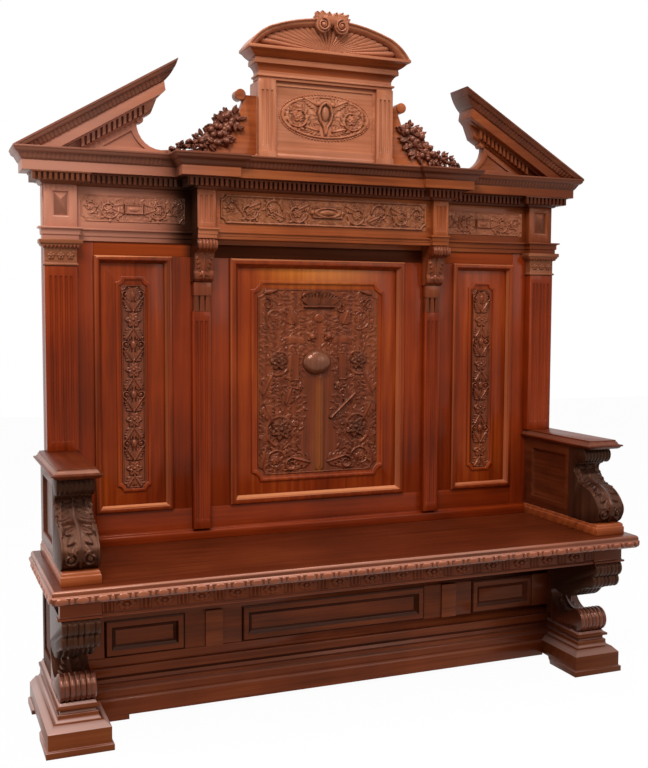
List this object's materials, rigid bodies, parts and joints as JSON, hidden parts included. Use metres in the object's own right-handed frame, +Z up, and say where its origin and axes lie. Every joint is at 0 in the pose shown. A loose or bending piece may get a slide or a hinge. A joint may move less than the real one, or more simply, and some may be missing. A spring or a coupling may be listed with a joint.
{
  "type": "hall bench",
  "caption": "High-backed carved walnut hall bench with scrolled arms, panelled base and back, dentil cornice, broken pediment and an arched crest.",
  "frame": {"origin": "on the floor under the middle of the bench's length and depth", "axes": "+Z up, the front faces -Y, +X towards the bench's left-hand end as one sits on it"},
  "size_m": [1.942, 0.5299, 2.1531],
  "materials": {
    "polished_walnut": "polished reddish brown",
    "carved_walnut": "carved, darker in the hollows",
    "plain_wood": "plain, unpolished"
  },
  "bodies": {
    "root": {"apron_blocks": "polished_walnut", "architraves": "polished_walnut", "back_frame_members": "polished_walnut", "back_panel_mouldings": "polished_walnut", "back_posts": "polished_walnut", "base_back_board": "plain_wood", "base_frame_members": "polished_walnut", "base_moulding": "polished_walnut", "base_panels": "polished_walnut", "base_plinth_board": "polished_walnut", "centre_back_panel": "polished_walnut", "centre_cornice": "polished_walnut", "centre_frieze": "polished_walnut", "corner_blocks": "polished_walnut", "crest_scrolls": "carved_walnut", "dentil_courses": "polished_walnut", "frieze_blocks": "polished_walnut", "fruit_swags": "carved_walnut", "inner_pilasters": "polished_walnut", "left_arm_base": "polished_walnut", "left_arm_board": "polished_walnut", "left_arm_cap": "polished_walnut", "left_arm_console": "carved_walnut", "left_back_panel": "polished_walnut", "left_console": "carved_walnut", "left_end_board": "polished_walnut", "left_end_panel": "polished_walnut", "left_lower_scroll": "carved_walnut", "left_outer_pilaster": "polished_walnut", "left_plinth_foot": "polished_walnut", "left_raking_cornice": "polished_walnut", "left_seat_corbel": "carved_walnut", "left_wing_cornice": "polished_walnut", "pilaster_capitals": "polished_walnut", "plinth_packing_block": "plain_wood", "right_arm_base": "polished_walnut", "right_arm_board": "polished_walnut", "right_arm_cap": "polished_walnut", "right_arm_console": "carved_walnut", "right_back_panel": "polished_walnut", "right_console": "carved_walnut", "right_end_board": "polished_walnut", "right_end_panel": "polished_walnut", "right_lower_scroll": "carved_walnut", "right_outer_pilaster": "polished_walnut", "right_plinth_foot": "polished_walnut", "right_raking_cornice": "polished_walnut", "right_seat_corbel": "carved_walnut", "right_wing_cornice": "polished_walnut", "seat_apron": "polished_walnut", "seat_bearers": "plain_wood", "seat_board": "polished_walnut", "seat_skirting": "polished_walnut", "shell_arch": "carved_walnut", "side_scrolls": "polished_walnut", "tabernacle_case": "polished_walnut", "tabernacle_cornice": "polished_walnut", "tabernacle_pilasters": "polished_walnut", "tympanums": "polished_walnut", "wing_friezes": "polished_walnut"}
  },
  "joints": []
}
